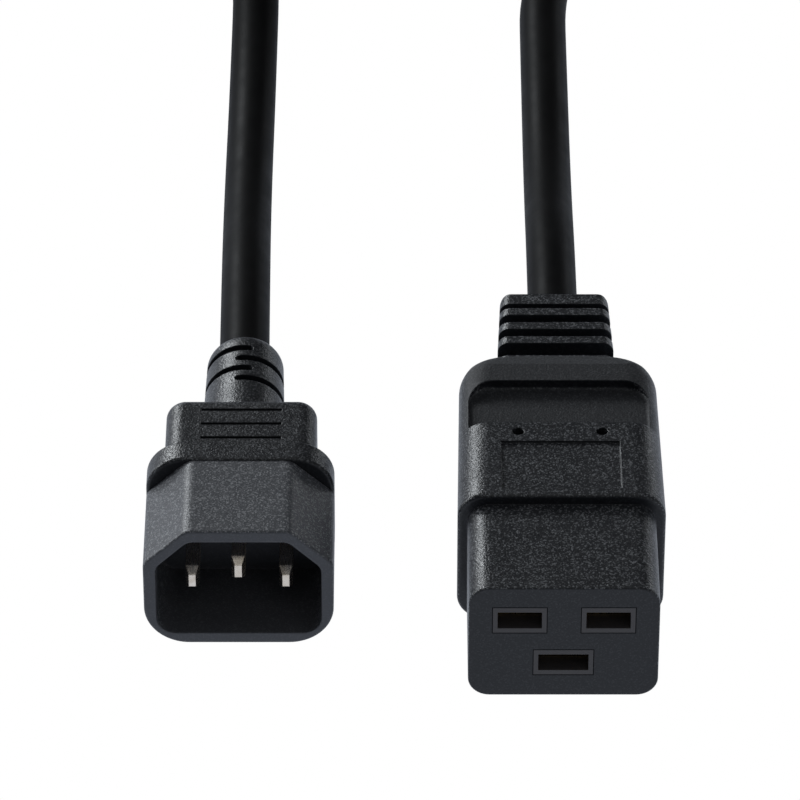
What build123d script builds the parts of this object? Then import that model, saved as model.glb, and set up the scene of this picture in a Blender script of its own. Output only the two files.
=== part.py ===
from build123d import *
import math
import os

# A moulded power extension cord: a plug with three shrouded pins on one end of a round lead,
# and a connector with three slots on the other. Both ends lie on the floor, Z = 0, with their
# mating faces towards -Y. The lead runs back along +Y to a tied coil.
# Sizes are in millimetres. Each end is drawn along its own axis, with Y = 0 at its face,
# and is then put in its place.

# Places of the two ends
PAIR_SPACING = 48.05
PLUG_SETBACK = 13.75

# Lead: jacket, and the three cores that come out of it inside each end
CORD_D = 7.8
CONNECTOR_CORE_L = 27.0
PLUG_CORE_L = 10.0
CORE_D = 2.9
CONDUCTOR_D = 1.7
CORE_LAY_GAP = 0.1
CORE_BEND_R = 3.6

# Connector: nose, slots and their frames
NOSE_W = 28.05
NOSE_H = 20.5
NOSE_L = 19.5
NOSE_R = 3.2
NOSE_EDGE_R = 0.3
SLOT_W = 6.5
SLOT_H = 3.0
EARTH_SLOT_W = 7.4
POLE_SPACING = 13.0
POLE_RISE = 4.15
EARTH_DROP = 8.0
FRAME_SIDE = 0.75
FRAME_TOP = 0.9

# Connector: rigid insert and folded contacts
FACE_SKIN = 1.6
INSERT_WALL = 1.8
INSERT_L = 18.4
INSERT_R = 1.5
CONTACT_WALL = 0.5
CONTACT_BORE_H = 2.1
CONTACT_BORE_LESS = 0.3
CONTACT_SLACK = 0.1
CONTACT_SETBACK = 3.4
CONTACT_BACK_L = 0.9
BARREL_D = 3.3
BARREL_L = 6.0
BARREL_FLOOR = 1.0

# Connector: body, with its rear slopes and its crowned rear wall
BODY_W = 31.0
BODY_REAR_W = 29.9
BODY_H = 24.0
BODY_L = 38.0
BODY_CROWN = 1.4
BODY_CORNER_R = 8.0
BODY_EDGE_R = 4.4
BODY_LIP_R = 0.6
SLOPE_L = 5.9
SLOPE_DROP = 2.0

# Connector: grip recesses above and below, and the label recess and two locator holes in the top
GRIP_SETBACK = 17.6
GRIP_L = 10.4
GRIP_DEPTH = 1.7
GRIP_SIDE = 1.25
GRIP_CORNER_R = 4.0
GRIP_FLOOR_R = 0.6
LABEL_SETBACK = 1.8
LABEL_W = 17.8
LABEL_L = 11.3
LABEL_DEPTH = 0.4
LOCATOR_D = 1.8
LOCATOR_DEPTH = 3.0
LOCATOR_SPACING = 12.6
LOCATOR_SETBACK = 15.4

# Connector: ribbed strain relief
RELIEF_W = 18.5
RELIEF_END_W = 16.85
RELIEF_H = 14.0
RELIEF_END_H = 13.6
RELIEF_L = 18.8
RELIEF_EDGE_R = 1.8
RELIEF_CORNER_R = 1.3
NECK_L = 2.9
RIB_COUNT = 4
RIB_PITCH = 3.66
RIB_L = 1.75
END_RIB_L = 2.5
RIB_DEPTH = 2.5

# Plug: shroud with two chamfered corners, and the base that holds the pins
SHROUD_W = 28.3
SHROUD_H = 21.4
SHROUD_SIDE_WALL = 1.8
SHROUD_WALL = 2.0
SHROUD_DEPTH = 15.2
SHROUD_L = 16.95
SHROUD_CHAMFER_X = 6.4
SHROUD_CHAMFER_Z = 6.1
SHROUD_INNER_CHAMFER = 4.9
SHROUD_CHAMFER_R = 2.2
SHROUD_CORNER_R = 6.7
SHROUD_INNER_R = 2.9
RIM_EDGE_R = 0.35
BASE_W = 23.6
BASE_H = 16.0
BASE_R = 2.0
BASE_L = 3.4

# Plug: pins
PIN_W = 2.0
PIN_H = 4.0
PIN_SPACING = 14.0
PIN_DROP = 1.6
EARTH_PIN_RISE = 2.5
PIN_SETBACK = 3.6
EARTH_PIN_SETBACK = 0.8
PIN_TIP_L = 1.3
PIN_TIP_W = 1.05
PIN_TIP_H = 2.2

# Plug: collar, grip with three engraved lines above and below, and the round strain relief
COLLAR_W = 28.3
COLLAR_H = 22.0
COLLAR_L = 4.4
COLLAR_R = 6.0
COLLAR_EDGE_R = 0.5
HANDLE_W = 22.9
HANDLE_H = 19.8
HANDLE_L = 12.75
HANDLE_REAR_R = 3.0
HANDLE_EDGE_R = 2.6
LINE_COUNT = 3
LINE_L = 12.2
LINE_W = 0.6
LINE_DEPTH = 0.45
LINE_PITCH = 3.4
LINE_SETBACK = 2.3
CONE_D = 13.0
CONE_END_D = 11.75
CONE_L = 21.8
CONE_END_R = 3.0
SLIT_COUNT = 4
SLIT_W = 1.35
SLIT_DEPTH = 1.5
SLIT_PITCH = 2.6
SLIT_END_SETBACK = 4.7
SLIT_PAST_MIDDLE = 6.5

# Coil of the unseen length, wound inwards below and outwards above, and its tie
COIL_OUTER_R = 49.8
COIL_INNER_R = 31.6
COIL_LAYERS = 2
COIL_Y = 220.5
COIL_SLACK = 0.05
COIL_CORNER_R = 3.0
LEAD_ANGLE = 22.0
LEAD_STUB = 28.0
TIE_T = 0.9
TIE_W = 12.0
TIE_ANGLE = 90.0

# Free stretches of the lead: where they bend, and how far to the side of their end's axis
CONNECTOR_LEVEL_Y = 54.0
CONNECTOR_LANDING_Y = 87.0
CONNECTOR_LYING_Y = 119.5
CONNECTOR_LYING_DRIFT = -0.2
PLUG_LEVEL_Y = 48.5
PLUG_LANDING_Y = 83.0
PLUG_LYING_Y = 116.5
PLUG_LANDING_DRIFT = -0.7
PLUG_LYING_DRIFT = -0.8
PLUG_CORNER_DRIFT = -0.6

# Room that a cutter takes past the surface it cuts, and how near counts as touching
PAST = 1.0
NEAR = 0.01

# Places worked out from the sizes above
CONNECTOR_L = NOSE_L + BODY_L + RELIEF_L
PLUG_L = SHROUD_L + COLLAR_L + HANDLE_L + CONE_L
PAIR_L = max(CONNECTOR_L, PLUG_SETBACK + PLUG_L)
CONNECTOR_X = PAIR_SPACING / 2 - (BODY_W - COLLAR_W) / 4
PLUG_X = CONNECTOR_X - PAIR_SPACING
FACE_Y = -PAIR_L / 2
CONNECTOR_Z = BODY_H / 2
PLUG_Z = COLLAR_H / 2
CORE_LAY_R = (CORE_D + CORE_LAY_GAP) / math.sqrt(3)


# Drawing helpers
def across(y):
    """A drawing plane across the length at y: X to the right, Z up."""
    return Plane(origin=(0, y, 0), x_dir=(1, 0, 0), z_dir=(0, -1, 0))


def bar(outline, y_from, y_to):
    """An outline drawn across the length, made solid from one y to another."""
    return extrude(across(y_from) * outline, amount=y_from - y_to)


def block(width, height, y_from, y_to, radius=0.0):
    """A bar on the axis with a plain or rounded rectangular section."""
    if radius > 0:
        return bar(RectangleRounded(width, height, radius), y_from, y_to)
    return bar(Rectangle(width, height), y_from, y_to)


def rod(diameter, y_from, y_to):
    """A round bar on the axis."""
    return bar(Circle(diameter / 2), y_from, y_to)


def lay_point(angle):
    """Where a core leaves the jacket, by its angle about the lead's axis."""
    a = math.radians(angle)
    return CORE_LAY_R * math.cos(a), CORE_LAY_R * math.sin(a)


def swept(path, diameter):
    """A round bar along a path."""
    start = Plane(origin=path @ 0, z_dir=path % 0)
    return sweep(start * Circle(diameter / 2), path=path)


# Poles: name, X and Z on the axis plane, slot width, and the angle of its core in the jacket
CONNECTOR_POLES = (
    ("line", -POLE_SPACING / 2, POLE_RISE, SLOT_W, 150),
    ("neutral", POLE_SPACING / 2, POLE_RISE, SLOT_W, 30),
    ("earth", 0.0, POLE_RISE - EARTH_DROP, EARTH_SLOT_W, 270),
)
PLUG_POLES = (
    ("line", -PIN_SPACING / 2, -PIN_DROP, PIN_SETBACK, 210),
    ("neutral", PIN_SPACING / 2, -PIN_DROP, PIN_SETBACK, 330),
    ("earth", 0.0, EARTH_PIN_RISE, EARTH_PIN_SETBACK, 90),
)

# Sizes of the contacts and of the insert round them
SLEEVE_H = CONTACT_BORE_H + 2 * CONTACT_WALL
CAVITY_H = SLEEVE_H + 2 * CONTACT_SLACK
INSERT_END = FACE_SKIN + INSERT_L
CONTACT_BARREL_END = INSERT_END + BARREL_L
CONNECTOR_JACKET_END = CONTACT_BARREL_END + CONNECTOR_CORE_L

# Where the plug's barrels and jacket end
PLUG_BARREL_END = SHROUD_L + BASE_L + BARREL_L
PLUG_JACKET_END = PLUG_BARREL_END + PLUG_CORE_L


def bore_width(slot_width):
    return slot_width - CONTACT_BORE_LESS


def cavity_width(slot_width):
    return bore_width(slot_width) + 2 * (CONTACT_WALL + CONTACT_SLACK)


INSERT_W = POLE_SPACING + cavity_width(SLOT_W) + 2 * INSERT_WALL
INSERT_H = EARTH_DROP + CAVITY_H + 2 * INSERT_WALL
INSERT_Z = POLE_RISE - EARTH_DROP / 2


# Connector
def insert_envelope():
    """Outside of the rigid insert: a block behind the face, and a frame out to it for each slot."""
    body = Pos(0, 0, INSERT_Z) * block(INSERT_W, INSERT_H, FACE_SKIN, INSERT_END, INSERT_R)
    for _, x, z, width, _ in CONNECTOR_POLES:
        frame = block(width + 2 * FRAME_SIDE, SLOT_H + 2 * FRAME_TOP, 0, FACE_SKIN + PAST)
        body += Pos(x, 0, z) * frame
    return body


def make_insert():
    """The insert with its slots, and behind each slot the cavity of its contact."""
    body = insert_envelope()
    for _, x, z, width, _ in CONNECTOR_POLES:
        slot = block(width, SLOT_H, -PAST, CONTACT_SETBACK + PAST)
        cavity = block(cavity_width(width), CAVITY_H, CONTACT_SETBACK - CONTACT_SLACK, INSERT_END + PAST)
        body -= Pos(x, 0, z) * (slot + cavity)
    return body


def make_contact(x, z, width):
    """A folded sleeve, closed at the back, with a crimp barrel behind it."""
    bore = bore_width(width)
    sleeve = block(bore + 2 * CONTACT_WALL, SLEEVE_H, CONTACT_SETBACK, INSERT_END)
    room = block(bore, CONTACT_BORE_H, CONTACT_SETBACK - PAST, INSERT_END - CONTACT_BACK_L)
    barrel = rod(BARREL_D, INSERT_END, CONTACT_BARREL_END)
    socket = rod(CONDUCTOR_D, INSERT_END + BARREL_FLOOR, CONTACT_BARREL_END + PAST)
    return Pos(x, 0, z) * (sleeve - room + barrel - socket)


def core_path(x, z, y_from, y_barrel, y_jacket, angle):
    """A core's centre line, from a crimp barrel to its place in the lead."""
    lay_x, lay_z = lay_point(angle)
    straight = CORE_BEND_R / 2
    start = [(x, y_from, z), (x, y_barrel + straight, z)]
    end = [(lay_x, y_jacket - straight, lay_z), (lay_x, y_jacket, lay_z)]
    return FilletPolyline(*start, *end, radius=CORE_BEND_R)


def make_core(x, z, y_barrel, y_jacket, angle, wire_from):
    """One core: its insulation from the barrel's end, and its conductor from inside the barrel."""
    cover_path = core_path(x, z, y_barrel, y_barrel, y_jacket, angle)
    wire_path = core_path(x, z, wire_from, y_barrel, y_jacket, angle)
    wire = swept(wire_path, CONDUCTOR_D)
    filled = swept(cover_path, CORE_D)
    return filled - swept(cover_path, CONDUCTOR_D), wire, filled


def body_form():
    """The body: tapered plan with a crowned rear, rear slopes above and below, rounded edges."""
    y_lip = NOSE_L
    y_rear = NOSE_L + BODY_L
    y_side = y_rear - BODY_CROWN
    half, rear_half = BODY_W / 2, BODY_REAR_W / 2
    outline = [
        Line((-half, y_lip), (half, y_lip)),
        Line((half, y_lip), (rear_half, y_side)),
        ThreePointArc((rear_half, y_side), (0, y_rear), (-rear_half, y_side)),
        Line((-rear_half, y_side), (-half, y_lip)),
    ]
    plan = make_face(outline)
    plan = fillet(plan.vertices().group_by(Axis.Y)[-1], BODY_CORNER_R)
    top = BODY_H / 2
    low = top - SLOPE_DROP
    y_slope = y_rear - SLOPE_L
    lower = [(y_lip, -top), (y_slope, -top), (y_rear, -low)]
    upper = [(y_rear, low), (y_slope, top), (y_lip, top)]
    side_face = Plane.YZ * make_face(Polyline(*lower, *upper, close=True))
    slab = extrude(Plane.XY.offset(-BODY_H) * plan, amount=2 * BODY_H)
    body = slab & extrude(Pos(-BODY_W, 0, 0) * side_face, amount=2 * BODY_W)
    creases = [e for e in body.edges() if is_long_edge(e, y_lip, y_slope)]
    body = fillet(creases, BODY_EDGE_R)
    lip = [e for e in body.edges() if e.bounding_box().max.Y < y_lip + NEAR]
    return fillet(lip, BODY_LIP_R)


def is_long_edge(edge, y_lip, y_slope):
    """True for the body's edges between its sides and its top, underside and slopes."""
    box = edge.bounding_box()
    at_lip = box.max.Y < y_lip + NEAR
    upright = box.size.Z > box.size.Y and box.size.Z > BODY_H / 2
    across_slope = box.size.Y < NEAR and abs(box.max.Y - y_slope) < NEAR
    return not (at_lip or upright or across_slope)


def tapered_face(y_from, width_from, y_to, width_to):
    """A plan from one y to another, with its width at each."""
    near, far = width_from / 2, width_to / 2
    return make_face(Polyline((-near, y_from), (near, y_from), (far, y_to), (-far, y_to), close=True))


def relief_form():
    """The rectangular strain relief, tapered to its end, with grooves between its ribs."""
    y_root = NOSE_L + BODY_L
    y_end = CONNECTOR_L
    plan = tapered_face(y_root - PAST, RELIEF_W, y_end, RELIEF_END_W)
    side_face = Rot(0, 90, 0) * tapered_face(y_root - PAST, RELIEF_H, y_end, RELIEF_END_H)
    relief = extrude(plan, amount=RELIEF_H, both=True) & extrude(side_face, amount=RELIEF_W, both=True)
    long_edges = relief.edges().filter_by(lambda e: e.bounding_box().size.Y > RELIEF_L / 2)
    relief = fillet(long_edges, RELIEF_EDGE_R)
    plan = fillet(plan.vertices().group_by(Axis.Y)[-1], RELIEF_CORNER_R)
    relief &= extrude(plan, amount=RELIEF_H, both=True)
    backs = [y_end - RIB_PITCH * i for i in range(RIB_COUNT)]
    fronts = [backs[0] - END_RIB_L] + [back - RIB_L for back in backs[1:]]
    gaps_from = backs[1:] + [y_root + NECK_L]
    floor_z = RELIEF_END_H / 2 - RIB_DEPTH
    for gap_from, gap_to in zip(gaps_from, fronts):
        gap = bar(Rectangle(RELIEF_W + 2 * PAST, RELIEF_H), gap_from, gap_to)
        relief -= Pos(0, 0, floor_z + RELIEF_H / 2) * gap
        relief -= Pos(0, 0, -floor_z - RELIEF_H / 2) * gap
    return relief


def grip_cutter():
    """The grip recess in the top of the body, with rounded rear corners."""
    y_front = NOSE_L + GRIP_SETBACK
    y_back = y_front + GRIP_L
    width = BODY_REAR_W - 2 * GRIP_SIDE
    plan = Pos(0, (y_front + y_back) / 2) * Rectangle(width, GRIP_L)
    plan = fillet(plan.vertices().group_by(Axis.Y)[-1], GRIP_CORNER_R)
    floor_z = BODY_H / 2 - GRIP_DEPTH
    cutter = extrude(Plane.XY.offset(floor_z) * plan, amount=GRIP_DEPTH + PAST)
    floor_edges = cutter.faces().sort_by(Axis.Z)[0].edges()
    return fillet(floor_edges.filter_by(lambda e: e.bounding_box().max.Y > y_front + PAST), GRIP_FLOOR_R)


def label_cutter():
    """The shallow label recess, left bare."""
    top = BODY_H / 2
    y_middle = NOSE_L + LABEL_SETBACK + LABEL_L / 2
    recess = Box(LABEL_W, LABEL_L, 2 * LABEL_DEPTH)
    return Pos(0, y_middle, top) * recess


def locator_holes():
    """Two blind holes behind the line and neutral contacts, left by the pins that held the wires."""
    hole = Cylinder(LOCATOR_D / 2, 2 * LOCATOR_DEPTH)
    y_holes = NOSE_L + LOCATOR_SETBACK
    left = Pos(-LOCATOR_SPACING / 2, y_holes, BODY_H / 2) * hole
    return left + mirror(left, about=Plane.YZ)


def make_connector():
    """All pieces of the connector, by node name."""
    nose = block(NOSE_W, NOSE_H, 0, NOSE_L + BODY_CORNER_R, NOSE_R)
    nose = fillet(nose.faces().sort_by(Axis.Y)[0].edges(), NOSE_EDGE_R)
    mould = body_form() + nose + relief_form()
    mould -= grip_cutter()
    mould -= mirror(grip_cutter(), about=Plane.XY)
    mould -= label_cutter()
    mould -= locator_holes()
    mould -= insert_envelope()
    mould -= rod(CORD_D, CONNECTOR_JACKET_END, CONNECTOR_L + PAST)
    pieces = {"connector_insert": make_insert()}
    for name, x, z, width, angle in CONNECTOR_POLES:
        wire_from = INSERT_END + BARREL_FLOOR
        cover, wire, filled = make_core(x, z, CONTACT_BARREL_END, CONNECTOR_JACKET_END, angle, wire_from)
        mould -= Pos(x, 0, z) * rod(BARREL_D, INSERT_END, CONTACT_BARREL_END)
        mould -= filled
        pieces[f"connector_{name}_contact"] = make_contact(x, z, width)
        pieces[f"connector_{name}_core"] = cover
        pieces[f"connector_{name}_conductor"] = wire
    pieces["connector_overmould"] = mould
    return pieces


# Plug
def chamfered_outline(width, height, chamfer_x, chamfer_z, corner_r):
    """A rectangle with two chamfered upper corners, softened, and two rounded lower corners."""
    half_w, half_h = width / 2, height / 2
    lower = [(-half_w, -half_h), (half_w, -half_h)]
    right = [(half_w, half_h - chamfer_z), (half_w - chamfer_x, half_h)]
    left = [(chamfer_x - half_w, half_h), (-half_w, half_h - chamfer_z)]
    outline = make_face(Polyline(*lower, *right, *left, close=True))
    outline = fillet(outline.vertices().group_by(Axis.Y)[0], corner_r)
    upper = outline.vertices().filter_by(lambda v: v.Y > half_h - chamfer_z - NEAR)
    return fillet(upper, SHROUD_CHAMFER_R)


def shroud_envelope():
    """Outside of the shroud, and of its base inside the soft moulding."""
    outline = chamfered_outline(SHROUD_W, SHROUD_H, SHROUD_CHAMFER_X, SHROUD_CHAMFER_Z, SHROUD_CORNER_R)
    box = bar(outline, 0, SHROUD_L)
    box = fillet(box.faces().sort_by(Axis.Y)[0].edges(), RIM_EDGE_R)
    return box + block(BASE_W, BASE_H, SHROUD_L - PAST, SHROUD_L + BASE_L, BASE_R)


def make_shroud():
    """The shroud with its recess, and a fitting hole through its base for each pin."""
    inner_w = SHROUD_W - 2 * SHROUD_SIDE_WALL
    inner_h = SHROUD_H - 2 * SHROUD_WALL
    chamfer = SHROUD_INNER_CHAMFER
    recess = bar(chamfered_outline(inner_w, inner_h, chamfer, chamfer, SHROUD_INNER_R), -PAST, SHROUD_DEPTH)
    body = shroud_envelope() - recess
    for _, x, z, _, _ in PLUG_POLES:
        body -= Pos(x, 0, z) * block(PIN_W, PIN_H, SHROUD_DEPTH - PAST, SHROUD_L + BASE_L + PAST)
    return body


def make_pin(x, z, setback):
    """A flat pin with a chamfered tip, and a crimp barrel behind the base."""
    y_base = SHROUD_L + BASE_L
    y_full = setback + PIN_TIP_L
    tip = loft([across(setback) * Rectangle(PIN_TIP_W, PIN_TIP_H), across(y_full) * Rectangle(PIN_W, PIN_H)])
    blade = block(PIN_W, PIN_H, y_full, y_base)
    barrel = rod(BARREL_D, y_base, PLUG_BARREL_END)
    socket = rod(CONDUCTOR_D, y_base + BARREL_FLOOR, PLUG_BARREL_END + PAST)
    return Pos(x, 0, z) * (tip + blade + barrel - socket)


def handle_form():
    """The grip behind the collar, rounded at its rear corners, with engraved lines above and below."""
    y_front = SHROUD_L + COLLAR_L
    y_back = y_front + HANDLE_L
    plan = Pos(0, (y_front + y_back) / 2) * Rectangle(HANDLE_W, HANDLE_L)
    plan = fillet(plan.vertices().group_by(Axis.Y)[-1], HANDLE_REAR_R)
    handle = extrude(plan, amount=HANDLE_H / 2, both=True)
    handle = fillet(rear_loop(handle, y_front), HANDLE_EDGE_R)
    for i in range(LINE_COUNT):
        y_line = y_front + LINE_SETBACK + LINE_PITCH * i
        line = Pos(0, y_line, HANDLE_H / 2) * Box(LINE_L, LINE_W, 2 * LINE_DEPTH)
        handle -= line
        handle -= mirror(line, about=Plane.XY)
    return handle


def rear_loop(solid, y_front):
    """The upper and lower edges of a plan solid, without those at its front."""
    level = solid.faces().filter_by(Plane.XY)
    return level.edges().filter_by(lambda e: e.bounding_box().max.Y > y_front + NEAR)


def cone_radius(y):
    """Radius of the round strain relief at y, before its end is rounded."""
    y_root = PLUG_L - CONE_L
    share = (y - y_root) / CONE_L
    return (CONE_D + (CONE_END_D - CONE_D) * share) / 2


def slit_cutter(y, side):
    """A groove round one side of the strain relief, a little past its middle line at both ends."""
    radius = cone_radius(y)
    outer = radius + PAST
    inner = radius - SLIT_DEPTH
    section = Plane.YZ * Pos(y, (outer + inner) / 2) * Rectangle(SLIT_W, outer - inner)
    arc = 180 + 2 * SLIT_PAST_MIDDLE
    ring = revolve(section, Axis.Y, revolution_arc=arc)
    ring = Rot(0, -SLIT_PAST_MIDDLE, 0) * ring
    end = Pos(0, y, (outer + inner) / 2) * Cylinder(SLIT_W / 2, outer - inner)
    for angle in (-SLIT_PAST_MIDDLE, 180 + SLIT_PAST_MIDDLE):
        ring += Rot(0, angle, 0) * end
    return ring if side > 0 else Rot(0, 180, 0) * ring


def cone_form():
    """The round strain relief with its staggered grooves."""
    y_buried = PLUG_L - CONE_L - HANDLE_REAR_R
    corners = [(y_buried, 0), (PLUG_L, 0), (PLUG_L, CONE_END_D / 2), (y_buried, CONE_D / 2)]
    profile = make_face(Polyline(*corners, close=True))
    rim = profile.vertices().sort_by(Axis.X)[-2:].sort_by(Axis.Y)[-1]
    profile = fillet(rim, CONE_END_R)
    cone = revolve(Plane.YZ * profile, Axis.Y)
    for i in range(SLIT_COUNT):
        side = -1 if i % 2 == 0 else 1
        cone -= slit_cutter(PLUG_L - SLIT_END_SETBACK - SLIT_PITCH * i, side)
    return cone


def make_plug():
    """All pieces of the plug, by node name."""
    collar = block(COLLAR_W, COLLAR_H, SHROUD_L, SHROUD_L + COLLAR_L, COLLAR_R)
    collar_faces = collar.faces().sort_by(Axis.Y)
    collar = fillet(collar_faces[0].edges() + collar_faces[-1].edges(), COLLAR_EDGE_R)
    mould = collar + handle_form() + cone_form()
    mould -= shroud_envelope()
    mould -= rod(CORD_D, PLUG_JACKET_END, PLUG_L + PAST)
    pieces = {"plug_shroud": make_shroud()}
    for name, x, z, setback, angle in PLUG_POLES:
        y_base = SHROUD_L + BASE_L
        wire_from = y_base + BARREL_FLOOR
        cover, wire, filled = make_core(x, z, PLUG_BARREL_END, PLUG_JACKET_END, angle, wire_from)
        mould -= Pos(x, 0, z) * rod(BARREL_D, y_base, PLUG_BARREL_END)
        mould -= filled
        pieces[f"plug_{name}_pin"] = make_pin(x, z, setback)
        pieces[f"plug_{name}_core"] = cover
        pieces[f"plug_{name}_conductor"] = wire
    pieces["plug_overmould"] = mould
    return pieces


# Lead
COIL_X = (CONNECTOR_X + PLUG_X) / 2
TURN_LOW_Z = TIE_T + COIL_SLACK + CORD_D / 2
TURN_HIGH_Z = TURN_LOW_Z + CORD_D * (COIL_LAYERS - 1)


def lead_join(side):
    """Where a lead touches the coil's outer turn, and its level direction away from the coil."""
    a = math.radians(LEAD_ANGLE)
    joint = Vector(COIL_X + side * COIL_OUTER_R * math.cos(a), COIL_Y - COIL_OUTER_R * math.sin(a), 0)
    return joint, Vector(-side * math.sin(a), -math.cos(a), 0)


def stub_end(side, z):
    """The end of the coil's own stub, where the free lead takes over."""
    joint, away = lead_join(side)
    end = joint + away * LEAD_STUB
    return (end.X, end.Y, z)


def lead_corner(side, x, z):
    """Where the line of the coil's stub reaches the free lead's own x."""
    joint, away = lead_join(side)
    corner = joint + away * ((x - joint.X) / away.X)
    return (corner.X, corner.Y, z)


FLOOR_Z = CORD_D / 2
CONNECTOR_ROUTE = [
    (CONNECTOR_X, FACE_Y + CONNECTOR_JACKET_END, CONNECTOR_Z),
    (CONNECTOR_X, CONNECTOR_LEVEL_Y, CONNECTOR_Z),
    (CONNECTOR_X, CONNECTOR_LANDING_Y, FLOOR_Z),
    (CONNECTOR_X + CONNECTOR_LYING_DRIFT, CONNECTOR_LYING_Y, FLOOR_Z),
    lead_corner(1, CONNECTOR_X, TURN_LOW_Z),
    stub_end(1, TURN_LOW_Z),
]
PLUG_ROUTE = [
    (PLUG_X, FACE_Y + PLUG_SETBACK + PLUG_JACKET_END, PLUG_Z),
    (PLUG_X, PLUG_LEVEL_Y, PLUG_Z),
    (PLUG_X + PLUG_LANDING_DRIFT, PLUG_LANDING_Y, FLOOR_Z),
    (PLUG_X + PLUG_LYING_DRIFT, PLUG_LYING_Y, FLOOR_Z),
    lead_corner(-1, PLUG_X + PLUG_CORNER_DRIFT, TURN_HIGH_Z),
    stub_end(-1, TURN_HIGH_Z),
]
ARC_SHARE = 0.45


def bend_radii(points):
    """The largest arc that each corner's two runs allow."""
    radii = []
    for before, here, after in zip(points, points[1:], points[2:]):
        run_in = Vector(here) - Vector(before)
        run_out = Vector(after) - Vector(here)
        half_turn = math.radians(run_in.get_angle(run_out)) / 2
        radii.append(ARC_SHARE * min(run_in.length, run_out.length) / math.tan(half_turn))
    return radii


def make_tube(name, points):
    """A free stretch of the lead: straight runs joined by tangent arcs."""
    radii = bend_radii(points)
    path = FilletPolyline(*points, radius=radii)
    tube = swept(path, CORD_D)
    share = tube.volume / (math.pi * CORD_D**2 / 4 * path.length)
    print(f"{name}: length {path.length:.1f}, radii {[round(r) for r in radii]}, volume ratio {share:.4f}")
    return tube


def coil_outline(grow):
    """Section of the wound turns, drawn upright beside the coil's axis, grown on all sides."""
    width = COIL_OUTER_R - COIL_INNER_R + CORD_D + 2 * COIL_SLACK
    height = COIL_LAYERS * CORD_D + 2 * COIL_SLACK
    middle = Pos((COIL_OUTER_R + COIL_INNER_R) / 2, TIE_T + height / 2)
    return Plane.XZ * middle * RectangleRounded(width + 2 * grow, height + 2 * grow, COIL_CORNER_R + grow)


def make_coil():
    """The coil's outer shape: a ring of wound turns, with a stub for each lead."""
    coil = Pos(COIL_X, COIL_Y, 0) * revolve(coil_outline(0), Axis.Z)
    for side, z in ((1, TURN_LOW_Z), (-1, TURN_HIGH_Z)):
        joint, away = lead_join(side)
        plane = Plane(origin=(joint.X, joint.Y, z), z_dir=away)
        coil += extrude(plane * Circle(CORD_D / 2), amount=LEAD_STUB)
    return coil


def make_tie():
    """A strap round the turns, bent to the coil's curve."""
    middle_r = (COIL_OUTER_R + COIL_INNER_R) / 2
    arc = math.degrees(TIE_W / middle_r)
    band = revolve(coil_outline(TIE_T) - coil_outline(0), Axis.Z, revolution_arc=arc)
    return Pos(COIL_X, COIL_Y, 0) * Rot(0, 0, TIE_ANGLE - arc / 2) * band


def main():
    os.makedirs("parts", exist_ok=True)
    place_connector = Pos(CONNECTOR_X, FACE_Y, CONNECTOR_Z)
    place_plug = Pos(PLUG_X, FACE_Y + PLUG_SETBACK, PLUG_Z)
    nodes = {name: place_connector * piece for name, piece in make_connector().items()}
    nodes.update({name: place_plug * piece for name, piece in make_plug().items()})
    nodes["cord_connector_end"] = make_tube("cord_connector_end", CONNECTOR_ROUTE)
    nodes["cord_plug_end"] = make_tube("cord_plug_end", PLUG_ROUTE)
    nodes["cord_coil"] = make_coil()
    nodes["coil_tie"] = make_tie()
    for name, piece in nodes.items():
        export_step(piece, f"parts/{name}.step")
    return nodes


main()
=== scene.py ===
"""Looks of the power extension cord: its materials, the real turns of its lead, the strap round them, the
seams in the connector's face, and a white studio."""

import math

import bpy
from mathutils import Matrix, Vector


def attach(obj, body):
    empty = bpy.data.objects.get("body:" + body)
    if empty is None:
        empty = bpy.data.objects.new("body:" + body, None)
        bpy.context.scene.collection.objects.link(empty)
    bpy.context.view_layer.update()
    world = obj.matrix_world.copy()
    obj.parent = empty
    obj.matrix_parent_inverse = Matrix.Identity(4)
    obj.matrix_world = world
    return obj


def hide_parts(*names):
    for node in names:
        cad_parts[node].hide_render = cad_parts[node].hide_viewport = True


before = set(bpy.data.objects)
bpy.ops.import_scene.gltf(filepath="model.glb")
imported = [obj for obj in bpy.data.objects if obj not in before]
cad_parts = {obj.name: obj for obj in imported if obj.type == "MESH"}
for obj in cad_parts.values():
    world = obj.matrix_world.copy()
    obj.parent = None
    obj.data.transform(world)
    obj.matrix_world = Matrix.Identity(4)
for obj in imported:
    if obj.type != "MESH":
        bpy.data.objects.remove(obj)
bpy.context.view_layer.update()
scene = bpy.context.scene
MM = 0.001

# Places and sizes that the solids have too, in millimetres
CONNECTOR_X = 23.35
PLUG_X = -24.7
CONNECTOR_Z = 12.0
PLUG_Z = 11.0
FACE_Y = -38.15
CORD_D = 7.8
CORD_R = CORD_D / 2
COIL_OUTER_R = 49.8
COIL_INNER_R = 31.6
COIL_X = (CONNECTOR_X + PLUG_X) / 2
COIL_Y = 220.5
LEAD_ANGLE = 22.0
LEAD_STUB = 28.0
STRAP_ROOM = 0.95
FLOOR_Z = CORD_R
TURN_LOW_Z = STRAP_ROOM + CORD_R
TURN_HIGH_Z = TURN_LOW_Z + CORD_D

# Camera, fitted to the photograph: millimetres, and the lens for its sensor
SENSOR_W = 36.0
LENS = 274.3
CAMERA_PLACE = (-0.68, -724.1, 587.1)
CAMERA_TARGET = (-0.68, 35.49, 0.0)


def link(name, data):
    """A new object of the scene that holds the data."""
    obj = bpy.data.objects.new(name, data)
    scene.collection.objects.link(obj)
    return obj


def aim(obj, place, direction):
    obj.location = place
    obj.rotation_mode = "QUATERNION"
    obj.rotation_quaternion = direction.to_track_quat("-Z", "Y")


def ease(t):
    """A soft step from 0 to 1 while t goes from 0 to 1."""
    t = min(max(t, 0.0), 1.0)
    return t * t * (3 - 2 * t)


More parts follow.
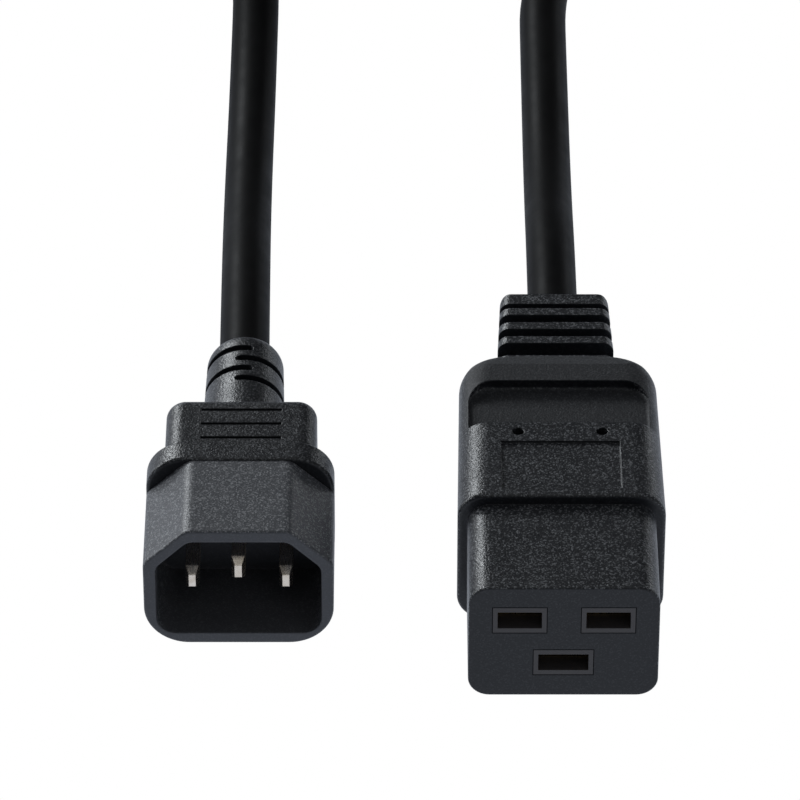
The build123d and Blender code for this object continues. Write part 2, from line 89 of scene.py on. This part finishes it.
def make_camera():
    data = bpy.data.cameras.new("camera")
    data.sensor_width = SENSOR_W
    data.lens = LENS
    data.clip_start = 0.05
    data.clip_end = 20.0
    camera = link("camera", data)
    place = Vector(CAMERA_PLACE) * MM
    aim(camera, place, Vector(CAMERA_TARGET) * MM - place)
    scene.camera = camera


# Lead: the plain stretches to the coil, whose points are listed
def lead_join(side):
    """Where the lead leaves the outer turn on one side, and the direction in which it goes."""
    a = math.radians(LEAD_ANGLE)
    joint = Vector((COIL_X + side * COIL_OUTER_R * math.cos(a), COIL_Y - COIL_OUTER_R * math.sin(a), 0))
    return joint, Vector((-side * math.sin(a), -math.cos(a), 0))


def stub_end(side, z):
    joint, away = lead_join(side)
    end = joint + away * LEAD_STUB
    return (end.x, end.y, z)


def lead_corner(side, x, z):
    """Where the line away from the coil reaches x."""
    joint, away = lead_join(side)
    corner = joint + away * ((x - joint.x) / away.x)
    return (corner.x, corner.y, z)


CONNECTOR_ROUTE = [
    (CONNECTOR_X, 14.85, CONNECTOR_Z),
    (CONNECTOR_X, 54.0, CONNECTOR_Z),
    (CONNECTOR_X + 0.1, 87.0, FLOOR_Z),
    (CONNECTOR_X + 0.15, 119.5, FLOOR_Z),
    lead_corner(1, CONNECTOR_X + 0.2, TURN_LOW_Z),
    stub_end(1, TURN_LOW_Z),
]
PLUG_ROUTE = [
    (PLUG_X, 11.95, PLUG_Z),
    (PLUG_X - 0.4, 48.5, PLUG_Z),
    (PLUG_X - 0.85, 83.0, FLOOR_Z),
    (PLUG_X - 0.6, 116.5, FLOOR_Z),
    lead_corner(-1, PLUG_X - 0.2, TURN_HIGH_Z),
    stub_end(-1, TURN_HIGH_Z),
]

# Lead: the wound turns, in degrees along them
TURNS = 4.5
WOUND_FROM = -LEAD_ANGLE
WOUND_TO = TURNS * 360 + LEAD_ANGLE
WOUND_MIDDLE = (WOUND_FROM + WOUND_TO) / 2
WOUND_STEPS = 84
CLIMB = 40.0


def turn_at(angle):
    """Radius and height of the wound lead at an angle along its turns. They go inwards in the lower layer,
    climb near the middle of the length, and come out again in the upper layer."""
    off = angle - WOUND_MIDDLE
    share = min(abs(off) / (WOUND_TO - WOUND_MIDDLE), 1.0)
    radius = COIL_INNER_R + (COIL_OUTER_R - COIL_INNER_R) * share
    return radius, TURN_LOW_Z + (TURN_HIGH_Z - TURN_LOW_Z) * ease((off + CLIMB) / (2 * CLIMB))


def wound_points():
    """The turns' control points, which lie a little outside the line so that the curve meets it."""
    step = (WOUND_TO - WOUND_FROM) / WOUND_STEPS
    spread = 1 / math.cos(math.radians(step / 2))
    points = []
    for i in range(WOUND_STEPS + 2):
        angle = WOUND_FROM + step * (i - 0.5)
        radius, z = turn_at(angle)
        a = math.radians(angle)
        points.append((COIL_X + radius * spread * math.cos(a), COIL_Y + radius * spread * math.sin(a), z))
    return points


def make_cord():
    points = CONNECTOR_ROUTE + wound_points() + PLUG_ROUTE[::-1]
    data = bpy.data.curves.new("power_cord", "CURVE")
    data.dimensions = "3D"
    spline = data.splines.new("NURBS")
    spline.points.add(len(points) - 1)
    for point, place in zip(spline.points, points):
        point.co = (place[0] * MM, place[1] * MM, place[2] * MM, 1.0)
        point.radius = CORD_R * MM
    spline.order_u = 3
    spline.use_endpoint_u = True
    data.resolution_u = 10
    # The points' radius scales this depth of 1 m, which keeps the curve's own box close to it
    data.bevel_depth = 1.0
    data.bevel_resolution = 7
    data.use_fill_caps = True
    cord = link("power_cord", data)
    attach(cord, "root")
    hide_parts("cord_connector_end", "cord_coil", "cord_plug_end")
    return cord


# Strap round the coil, in millimetres: it goes once round the turns and then laps over its own start
STRAP_ANGLE = 90.0
STRAP_T = 0.85
STRAP_W = 12.0
STRAP_EDGE = 0.3
STRAP_GAP = 0.06
STRAP_LAP = 20.0
STRAP_STEP = 0.8
LAP_RISE_STEPS = 6
TURN_SIDES = 48
START_LEAN = 0.2


def hull(points):
    """The convex outline of some points, counter-clockwise."""
    points = sorted(points)

    def half(run):
        chain = []
        for p in run:
            while len(chain) > 1:
                (ax, ay), (bx, by) = chain[-2], chain[-1]
                if (bx - ax) * (p[1] - ay) - (by - ay) * (p[0] - ax) > 0:
                    break
                chain.pop()
            chain.append(p)
        return chain[:-1]

    return half(points) + half(points[::-1])


def turns_outline():
    """The outline of the turns where the strap goes, as radius and height, from its top inner corner on."""
    reach = CORD_R + STRAP_GAP
    ring = []
    angle = STRAP_ANGLE
    while angle < WOUND_TO:
        radius, z = turn_at(angle)
        for i in range(TURN_SIDES):
            a = math.tau * i / TURN_SIDES
            ring.append((radius + reach * math.cos(a), z + reach * math.sin(a)))
        angle += 360.0
    outline = hull(ring)
    start = max(range(len(outline)), key=lambda i: outline[i][1] - START_LEAN * outline[i][0])
    return outline[start:] + outline[:start]


def strap_line():
    """Evenly spaced places along the outline of the turns, and its length."""
    outline = turns_outline()
    lengths = [math.dist(a, b) for a, b in zip(outline, outline[1:] + outline[:1])]
    total = sum(lengths)
    count = round(total / STRAP_STEP)
    places = []
    walked, i = 0.0, 0
    for k in range(count):
        want = total * k / count
        while walked + lengths[i] < want:
            walked += lengths[i]
            i += 1
        t = (want - walked) / lengths[i]
        a, b = outline[i], outline[(i + 1) % len(outline)]
        places.append((a[0] + (b[0] - a[0]) * t, a[1] + (b[1] - a[1]) * t))
    return places, total


def strap_section():
    """The strap's section, as distance from the turns and place across, with its corners cut off."""
    half = STRAP_W / 2
    run = [(0, side) for side in (STRAP_EDGE - half, -half / 2, 0, half / 2, half - STRAP_EDGE)]
    run += [(STRAP_EDGE, half), (STRAP_T - STRAP_EDGE, half)]
    return run + [(STRAP_T - off, -side) for off, side in run]


def strap_points():
    """The strap's points section by section, each with its length and width along the strap."""
    places, total = strap_line()
    count = len(places)
    a = math.radians(STRAP_ANGLE)
    out = Vector((math.cos(a), math.sin(a), 0))
    along = Vector((-math.sin(a), math.cos(a), 0))
    section = strap_section()
    verts, uvs = [], []
    for k in range(count + round(STRAP_LAP / STRAP_STEP) + 1):
        here = places[k % count]
        before, after = places[(k - 1) % count], places[(k + 1) % count]
        dx, dz = after[0] - before[0], after[1] - before[1]
        size = math.hypot(dx, dz)
        nx, nz = dz / size, -dx / size
        lift = (STRAP_T + STRAP_GAP) * ease((k - count + LAP_RISE_STEPS) / LAP_RISE_STEPS)
        for off, side in section:
            r = here[0] + nx * (off + lift)
            z = here[1] + nz * (off + lift)
            place = Vector((COIL_X, COIL_Y, 0)) + out * r + along * side + Vector((0, 0, z))
            verts.append(place * MM)
            uvs.append((k * total / count * MM, side * MM))
    return verts, uvs


def make_strap():
    verts, uvs = strap_points()
    n = len(strap_section())
    steps = len(verts) // n - 1
    faces = []
    for k in range(steps):
        for j in range(n):
            faces.append((k * n + j, k * n + (j + 1) % n, (k + 1) * n + (j + 1) % n, (k + 1) * n + j))
    faces.append(tuple(range(n))[::-1])
    faces.append(tuple(steps * n + j for j in range(n)))
    mesh = bpy.data.meshes.new("tie_strap")
    mesh.from_pydata(verts, [], faces)
    layer = mesh.uv_layers.new(name="strap")
    for loop in mesh.loops:
        layer.data[loop.index].uv = uvs[loop.vertex_index]
    mesh.validate()
    mesh.shade_smooth()
    strap = link("tie_strap", mesh)
    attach(strap, "root")
    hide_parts("coil_tie")
    return strap


# Hairline seams where the three frames of the insert show in the soft moulding, in millimetres
SEAM_W = 0.13
SEAM_RISE = 0.012
SEAM_DEPTH = 0.1
FRAMES = ((-6.5, 4.15, 8.0, 4.8), (6.5, 4.15, 8.0, 4.8), (0.0, -3.85, 8.9, 4.8))


def make_seams():
    """A thin ring round each frame, from its place across and up in the face, its width and its height."""
    verts, faces = [], []
    corners = ((-1, -1), (1, -1), (1, 1), (-1, 1))
    for x, z, width, height in FRAMES:
        first = len(verts)
        for y in (FACE_Y - SEAM_RISE, FACE_Y + SEAM_DEPTH):
            for grow in (-SEAM_W / 2, SEAM_W / 2):
                for side, up in corners:
                    across = CONNECTOR_X + x + side * (width / 2 + grow)
                    level = CONNECTOR_Z + z + up * (height / 2 + grow)
                    verts.append(Vector((across, y, level)) * MM)
        for i in range(4):
            j = (i + 1) % 4
            inner, outer, inner_back, outer_back = (first + 4 * k for k in range(4))
            faces.append((inner + i, inner + j, outer + j, outer + i))
            faces.append((outer_back + i, outer_back + j, inner_back + j, inner_back + i))
            faces.append((outer + i, outer + j, outer_back + j, outer_back + i))
            faces.append((inner_back + i, inner_back + j, inner + j, inner + i))
    mesh = bpy.data.meshes.new("frame_seams")
    mesh.from_pydata(verts, [], faces)
    mesh.validate()
    seams = link("frame_seams", mesh)
    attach(seams, "root")
    return seams


# Materials: their lengths are in metres, and a noise's or a pattern's scale is per metre
class Nodes:
    """A short way to lay out a material's nodes."""

    def __init__(self, name):
        self.material = bpy.data.materials.new(name)
        self.material.use_nodes = True
        self.tree = self.material.node_tree
        self.shader = self.tree.nodes["Principled BSDF"]

    def add(self, kind, inputs=None, **settings):
        node = self.tree.nodes.new(kind)
        for key, value in settings.items():
            setattr(node, key, value)
        for key, value in (inputs or {}).items():
            self.put(node, key, value)
        return node

    def put(self, node, key, value):
        if hasattr(value, "is_output"):
            self.tree.links.new(value, node.inputs[key])
        else:
            node.inputs[key].default_value = value

    def set(self, **values):
        for key, value in values.items():
            self.put(self.shader, key.replace("_", " "), value)

    def place(self):
        return self.add("ShaderNodeTexCoord").outputs["Object"]

    def parts(self, vector):
        return self.add("ShaderNodeSeparateXYZ", {"Vector": vector}).outputs

    def work_out(self, operation, *values):
        return self.add("ShaderNodeMath", dict(enumerate(values)), operation=operation).outputs[0]

    def noise(self, scale, detail=2.0, roughness=0.5, where=None):
        inputs = {"Vector": where or self.place(), "Scale": scale, "Detail": detail, "Roughness": roughness}
        return self.add("ShaderNodeTexNoise", inputs).outputs["Fac"]

    def span(self, value, low, high, from_low=0.0, from_high=1.0):
        """The value, moved from one range to another and kept within it."""
        inputs = {"Value": value, "From Min": from_low, "From Max": from_high, "To Min": low, "To Max": high}
        return self.add("ShaderNodeMapRange", inputs).outputs["Result"]

    def tint(self, factor, dark, light):
        ramp = self.add("ShaderNodeValToRGB", {"Fac": factor})
        ramp.color_ramp.elements[0].color = (*dark, 1)
        ramp.color_ramp.elements[1].color = (*light, 1)
        return ramp.outputs["Color"]

    def edges(self, radius):
        """The surface's direction, with edges rounded for the light alone."""
        return self.add("ShaderNodeBevel", {"Radius": radius}, samples=6).outputs["Normal"]

    def bump(self, height, distance, normal=None, strength=1.0):
        node = self.add("ShaderNodeBump", {"Height": height, "Distance": distance, "Strength": strength})
        if normal is not None:
            self.put(node, "Normal", normal)
        return node.outputs["Normal"]

    def facing(self, axis):
        """How far the surface faces along an axis, from -1 to 1."""
        return self.parts(self.add("ShaderNodeNewGeometry").outputs["Normal"])[axis]


# How far along Y the mating faces look, and the share of the grain that their polished mould leaves them
FACE_LOOK = (-0.96, -0.8)
FACE_GRAIN = 0.12
# Painted glints of the grain, as bright points in its base colour: cells per grain, and the part of the cells
# that carry a painted glint
CELL_SCALE = 1.4
CELL_SHINE = (0.64, 1.0)
# What a recess floor keeps of the painted glints, which paints it darker as painted shade, and how much
# rougher it is
SHADED_FLOOR_GLINT = 0.2
SHADED_FLOOR_ROUGHNESS = 0.3


def moulded(name, dark, light, roughness, grain, depth, edge, level=0.5, shaded_floor=None):
    """Moulded plastic or soft vinyl: a fine spark-eroded grain, with painted glints of its facets as bright
    points in the base colour, and slightly rounded edges.
    A floor that faces up in a recess has painted shade: most of its painted glints are taken away, which
    darkens it, and it is rougher. The last argument gives that floor's axis, its middle and its half length."""
    m = Nodes(name)
    fine = m.noise(1 / grain, 1.0, 0.5)
    cloud = m.noise(180.0, 3.0, 0.6)
    show = m.span(m.facing("Y"), FACE_GRAIN, 1.0, *FACE_LOOK)
    rough = m.span(cloud, roughness - 0.04, roughness + 0.04, 0.3, 0.7)
    normal = m.bump(m.noise(60.0, 2.0), 0.00008, m.edges(edge), 0.5)
    normal = m.bump(fine, depth, normal, show)
    # Painted shade: on a recess floor fewer painted glints leave the base colour darker
    if shaded_floor:
        axis, middle, half = shaded_floor
        inside = m.work_out("COMPARE", m.parts(m.place())[axis], middle, half)
        inside = m.work_out("MULTIPLY", inside, m.span(m.facing("Z"), 0.0, 1.0, 0.4, 0.85))
        show = m.work_out("MULTIPLY", show, m.span(inside, 1.0, SHADED_FLOOR_GLINT))
        rough = m.work_out("ADD", rough, m.span(inside, 0.0, SHADED_FLOOR_ROUGHNESS))
    # Painted glints: bright points in the base colour stand in for the sparkle of the grain's facets
    cells = m.add("ShaderNodeTexVoronoi", {"Vector": m.place(), "Scale": CELL_SCALE / grain}).outputs["Color"]
    shine = m.add("ShaderNodeSeparateColor", {"Color": cells}).outputs["Red"]
    painted_glint = m.work_out("MULTIPLY", m.span(shine, 0.0, 1.0, *CELL_SHINE), show)
    m.set(Base_Color=m.tint(painted_glint, dark, light), Roughness=rough, Normal=normal, Specular_IOR_Level=level)
    return m.material


def metal(name, dark, light, roughness, edge):
    """Plated or bare metal with faint drawing lines and tarnish."""
    m = Nodes(name)
    where = m.place()
    stretched = {"Vector": where, "Scale": (3000.0, 250.0, 3000.0)}
    lines = m.noise(1.0, 3.0, 0.6, m.add("ShaderNodeMapping", stretched).outputs["Vector"])
    cloud = m.noise(600.0, 3.0, 0.6, where)
    m.set(
        Base_Color=m.tint(m.span(cloud, 0.0, 1.0, 0.3, 0.7), dark, light),
        Metallic=1.0,
        Roughness=m.span(lines, roughness - 0.08, roughness + 0.1, 0.3, 0.7),
        Normal=m.bump(lines, 0.000006, m.edges(edge)),
    )
    return m.material


def cloudy(m):
    return m.noise(400.0, 2.0)


def striped(m):
    """Stripes along the core, as wide as what is between them."""
    width, blur = 0.0014, 0.00005
    band = m.work_out("PINGPONG", m.parts(m.place())["X"], width)
    return m.span(band, 0.0, 1.0, width / 2 - blur, width / 2 + blur)


def core_cover(name, pattern, dark, light):
    """The vinyl on a core, whose pattern picks between its two colours."""
    m = Nodes(name)
    m.set(
        Base_Color=m.tint(pattern(m), dark, light),
        Roughness=0.32,
        Normal=m.bump(m.noise(900.0, 2.0), 0.00002),
    )
    return m.material


def jacket():
    """Smooth, slightly uneven soft vinyl."""
    m = Nodes("cord_jacket")
    cloud = m.noise(220.0, 3.0, 0.6)
    normal = m.bump(m.noise(90.0, 1.0), 0.00006)
    normal = m.bump(m.noise(5200.0, 2.0), 0.000006, normal)
    tone = m.span(cloud, 0.0, 1.0, 0.3, 0.7)
    m.set(
        Base_Color=m.tint(tone, (0.0035, 0.0035, 0.0037), (0.0052, 0.0052, 0.0055)),
        Roughness=m.span(cloud, 0.45, 0.55, 0.3, 0.7),
        Normal=normal,
        Specular_IOR_Level=0.04,
    )
    return m.material


def strap_fabric():
    """Napped loops on a woven strap, from the strap's own length and width."""
    m = Nodes("strap_fabric")
    uv = m.add("ShaderNodeTexCoord").outputs["UV"]
    threads = {"Vector": uv, "Scale": 420.0, "Distortion": 1.2, "Detail": 1.0}
    rows, cross = (
        m.add("ShaderNodeTexWave", threads, bands_direction=direction).outputs["Fac"] for direction in "XY"
    )
    fuzz = m.noise(4200.0, 3.0, 0.7)
    normal = m.bump(fuzz, 0.00012, m.bump(m.work_out("MULTIPLY", rows, cross), 0.00025))
    m.set(
        Base_Color=m.tint(m.span(fuzz, 0.0, 1.0, 0.3, 0.7), (0.008, 0.008, 0.009), (0.03, 0.03, 0.032)),
        Roughness=0.85,
        Normal=normal,
        Sheen_Weight=0.3,
        Sheen_Roughness=0.5,
    )
    return m.material


def seam_shadow():
    m = Nodes("seam_shadow")
    m.set(Base_Color=(0.004, 0.004, 0.005, 1), Roughness=0.8, Specular_IOR_Level=0.1)
    return m.material


# Where each material goes
def dress(node, material):
    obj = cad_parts[node]
    obj.data.materials.clear()
    obj.data.materials.append(material)


def dress_mouldings():
    """The floors with painted shade are the floor of the connector's grip recess and the floor inside the
    shroud.
    """
    # Each material's light colour is the colour of its painted glints
    dress("connector_overmould", moulded(
        "connector_moulding", dark=(0.0070, 0.0078, 0.0102), light=(0.12, 0.124, 0.132),
        roughness=0.36, grain=0.0003, depth=0.00009, edge=0.00025, level=0.35, shaded_floor=("Y", 0.00915, 0.0102),
    ))
    # The plug's moulding is the connector's black plastic with its colours painted darker: painted shade
    dress("plug_overmould", moulded(
        "plug_moulding", dark=(0.0055, 0.0062, 0.0082), light=(0.085, 0.088, 0.094),
        roughness=0.36, grain=0.0003, depth=0.00009, edge=0.00025, level=0.35,
    ))
    dress("plug_shroud", moulded(
        "shroud_moulding", dark=(0.042, 0.044, 0.051), light=(0.19, 0.195, 0.207),
        roughness=0.46, grain=0.00028, depth=0.00006, edge=0.0004, level=0.45, shaded_floor=("Z", 0.004, 0.005),
    ))
    dress("connector_insert", moulded(
        "insert_moulding", dark=(0.037, 0.033, 0.034), light=(0.046, 0.041, 0.0425),
        roughness=0.45, grain=0.0003, depth=0.00001, edge=0.0001,
    ))


def dress_poles():
    nickel = metal("nickel_plate", (0.62, 0.53, 0.42), (0.84, 0.76, 0.67), 0.24, 0.0002)
    brass = metal("contact_brass", (0.5, 0.34, 0.13), (0.72, 0.53, 0.24), 0.3, 0.0001)
    copper = metal("copper_wire", (0.7, 0.3, 0.17), (0.9, 0.48, 0.32), 0.28, 0.0001)
    covers = {
        "line": core_cover("core_brown", cloudy, (0.10, 0.035, 0.012), (0.15, 0.055, 0.02)),
        "neutral": core_cover("core_blue", cloudy, (0.012, 0.07, 0.32), (0.02, 0.1, 0.42)),
        "earth": core_cover("core_green_yellow", striped, (0.05, 0.22, 0.04), (0.75, 0.62, 0.04)),
    }
    for pole, cover in covers.items():
        dress(f"plug_{pole}_pin", nickel)
        dress(f"connector_{pole}_contact", brass)
        for end in ("plug", "connector"):
            dress(f"{end}_{pole}_core", cover)
            dress(f"{end}_{pole}_conductor", copper)


def dress_added(cord, strap, seams):
    cord.data.materials.append(jacket())
    strap.data.materials.append(strap_fabric())
    seams.data.materials.append(seam_shadow())


# Stage and light, in metres and watts
FLOOR_HALF = 3.0
FLOOR_DROP = 0.00002
WHITE = (1, 1, 1)
# The camera sees the floor and the world white, and they light the part in these softer tones
FLOOR_LIGHT = (0.65, 0.70, 0.79)
WORLD_GLOW = 0.03
PANEL_TINT = (0.93, 0.97, 1.0)
# Each panel's name, place, width, height and power
PANELS = (
    ("key_panel", (-0.46, 0.79, 0.40), 0.25, 0.25, 4.6),
    ("left_panel", (-0.9, 0.35, 0.35), 0.4, 0.4, 5.2),
    ("right_panel", (0.58, 0.79, 0.14), 0.25, 0.2, 0.5),
    ("front_panel", (0.0, -0.7, 0.9), 0.8, 0.8, 1.2),
    ("top_panel", (0.0, 0.1, 1.2), 0.8, 0.8, 1.8),
    ("back_panel", (0.0, 0.9, 0.7), 0.8, 0.3, 0.2),
    ("corner_panel", (0.75, -0.75, 0.3), 0.5, 0.4, 0.9),
    ("side_panel", (1.0, 0.0, 0.35), 0.5, 0.5, 0.8),
)


def make_floor():
    mesh = bpy.data.meshes.new("floor")
    corners = [(x * FLOOR_HALF, y * FLOOR_HALF, 0) for x, y in ((-1, -1), (1, -1), (1, 1), (-1, 1))]
    mesh.from_pydata(corners, [], [(0, 1, 2, 3)])
    floor = link("floor", mesh)
    floor.location.z = -FLOOR_DROP
    m = Nodes("studio_floor")
    m.set(
        Base_Color=(0, 0, 0, 1),
        Roughness=1.0,
        Specular_IOR_Level=0.0,
        Emission_Color=m.tint(m.add("ShaderNodeLightPath").outputs["Is Camera Ray"], FLOOR_LIGHT, WHITE),
        Emission_Strength=1.0,
    )
    mesh.materials.append(m.material)


def make_world():
    world = bpy.data.worlds.new("studio")
    scene.world = world
    world.use_nodes = True
    tree = world.node_tree
    back = tree.nodes["Background"]
    path = tree.nodes.new("ShaderNodeLightPath")
    strength = tree.nodes.new("ShaderNodeMapRange")
    strength.inputs["To Min"].default_value = WORLD_GLOW
    strength.inputs["To Max"].default_value = 1.0
    tree.links.new(path.outputs["Is Camera Ray"], strength.inputs["Value"])
    tree.links.new(strength.outputs["Result"], back.inputs["Strength"])
    back.inputs["Color"].default_value = (*WHITE, 1)


def make_panel(name, place, width, height, power):
    """A soft light that looks at the middle of the two ends and doesn't show itself."""
    data = bpy.data.lights.new(name, "AREA")
    data.shape = "RECTANGLE"
    data.size = width
    data.size_y = height
    data.energy = power
    data.color = PANEL_TINT
    light = link(name, data)
    aim(light, place, -Vector(place))
    light.visible_camera = False


make_camera()
cord = make_cord()
strap = make_strap()
seams = make_seams()
dress_mouldings()
dress_poles()
dress_added(cord, strap, seams)
make_floor()
make_world()
for row in PANELS:
    make_panel(*row)
scene.view_settings.view_transform = "Standard"
bpy.context.view_layer.update()
